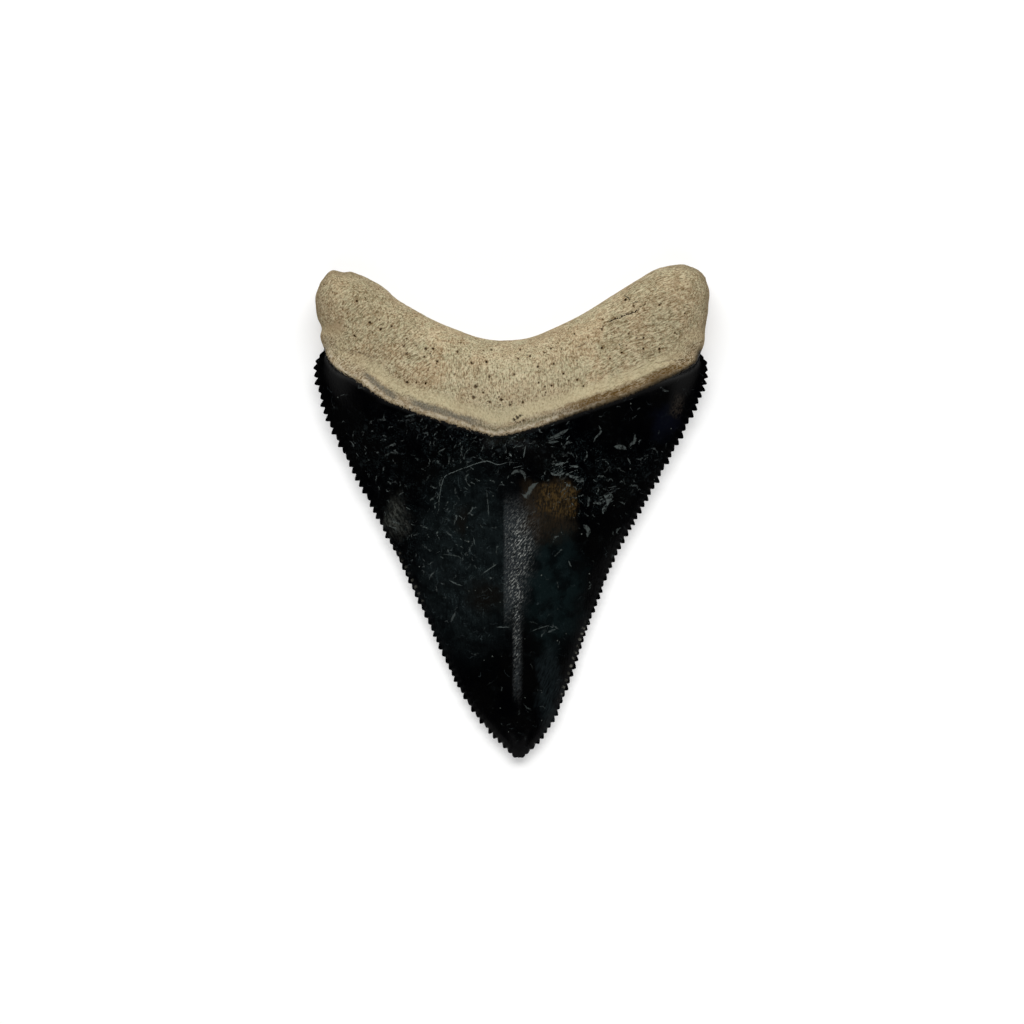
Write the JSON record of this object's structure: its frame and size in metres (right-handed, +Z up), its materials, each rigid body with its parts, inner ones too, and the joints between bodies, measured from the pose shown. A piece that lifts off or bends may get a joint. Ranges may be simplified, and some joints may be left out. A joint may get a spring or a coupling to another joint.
{
  "type": "megalodon tooth",
  "caption": "Fossil shark tooth: a broad dark crown with serrated cutting edges below a pale two-lobed root, lying on its flatter side as a display specimen.",
  "frame": {"origin": "on the resting surface, below the middle of the tooth's outline", "axes": "+X to the right of the tooth seen with its root up, +Y from the tip to the root, +Z up from the resting surface through the fuller face"},
  "size_m": [0.0438, 0.0548, 0.0111],
  "materials": {
    "fossil": "polished near-black enamel crown, matt porous tan root, thin worn tan neck band"
  },
  "bodies": {
    "root": {"tooth": "fossil"}
  },
  "joints": []
}
